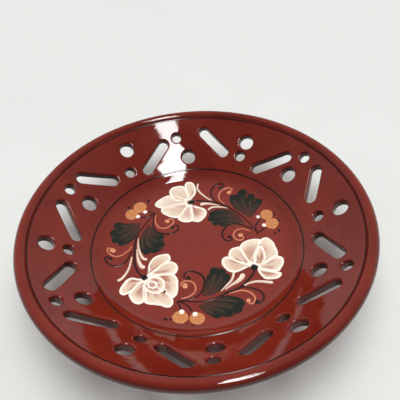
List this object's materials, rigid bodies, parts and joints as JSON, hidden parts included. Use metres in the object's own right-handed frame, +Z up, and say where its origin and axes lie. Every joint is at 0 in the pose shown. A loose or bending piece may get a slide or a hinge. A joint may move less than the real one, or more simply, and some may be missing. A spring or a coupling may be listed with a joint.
{
  "type": "hand painted pierced ceramic plate",
  "caption": "Round hand painted ceramic plate with a pierced sloping rim, a rolled lip, a flat painted well and a foot ring underneath.",
  "frame": {"origin": "centre of the foot ring's resting plane, at the bottom of the plate", "axes": "+Z up along the plate's axis of rotation; -Y points to the viewer who sees the painting as drawn; +X to that viewer's right"},
  "size_m": [0.25, 0.25, 0.0497],
  "materials": {
    "red_brown_glaze": "glossy lead-type glaze over red-brown slip",
    "black_brown_slip": "black-brown slip line under gloss glaze",
    "white_slip": "white slip dot under gloss glaze",
    "cream_slip": "cream slip brush strokes under gloss glaze",
    "orange_pink_slip": "orange-pink slip line under gloss glaze",
    "ochre_slip": "ochre slip under gloss glaze",
    "dark_green_slip": "thin black-green slip brush strokes under gloss glaze"
  },
  "bodies": {
    "root": {"plate_body": "red_brown_glaze", "outer_band_line": "black_brown_slip", "inner_band_line": "black_brown_slip", "berry_highlights_1": "white_slip", "berry_highlights_2": "white_slip", "berry_highlights_3": "white_slip", "black_dots_1": "black_brown_slip", "black_dots_2": "black_brown_slip", "black_dots_3": "black_brown_slip", "stem_and_scrolls_1": "black_brown_slip", "stem_and_scrolls_2": "black_brown_slip", "stem_and_scrolls_3": "black_brown_slip", "cream_strokes_1": "cream_slip", "cream_strokes_2": "cream_slip", "cream_strokes_3": "cream_slip", "orange_scrolls_1": "orange_pink_slip", "orange_scrolls_2": "orange_pink_slip", "orange_scrolls_3": "orange_pink_slip", "berries_1": "ochre_slip", "berries_2": "ochre_slip", "berries_3": "ochre_slip", "petals_1": "cream_slip", "petals_2": "cream_slip", "petals_3": "cream_slip", "outer_leaf_1": "dark_green_slip", "outer_leaf_2": "dark_green_slip", "outer_leaf_3": "dark_green_slip", "inner_leaf_1": "dark_green_slip", "inner_leaf_2": "dark_green_slip", "inner_leaf_3": "dark_green_slip"}
  },
  "joints": []
}
